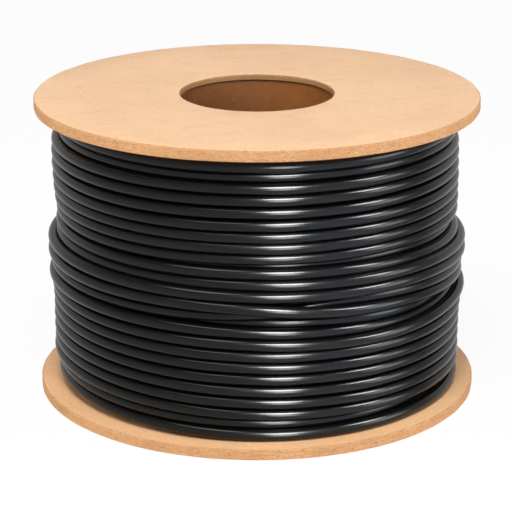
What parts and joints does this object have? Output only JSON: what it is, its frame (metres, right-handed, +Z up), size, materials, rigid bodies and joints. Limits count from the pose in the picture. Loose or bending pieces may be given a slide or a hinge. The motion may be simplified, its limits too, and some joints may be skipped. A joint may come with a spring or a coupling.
{
  "type": "cable reel",
  "caption": "Reel of black round cable wound on a paper core tube between two plain round board flanges with a large spindle hole.",
  "frame": {"origin": "bottom centre of the reel, on the axis and level with the outer face of the bottom flange", "axes": "+Z up along the axis of the reel as it stands on its end; the reel is round, so X and Y are free and the picture looks along +Y"},
  "size_m": [0.25, 0.25, 0.17],
  "materials": {
    "board": "plain fibreboard, matt, with a rough sawn edge",
    "kraft": "bare kraft paper, matt",
    "sheath": "smooth extruded black sheath, half gloss"
  },
  "bodies": {
    "root": {"bottom_flange": "board", "top_flange": "board", "core_tube": "kraft", "cable": "sheath"}
  },
  "joints": []
}
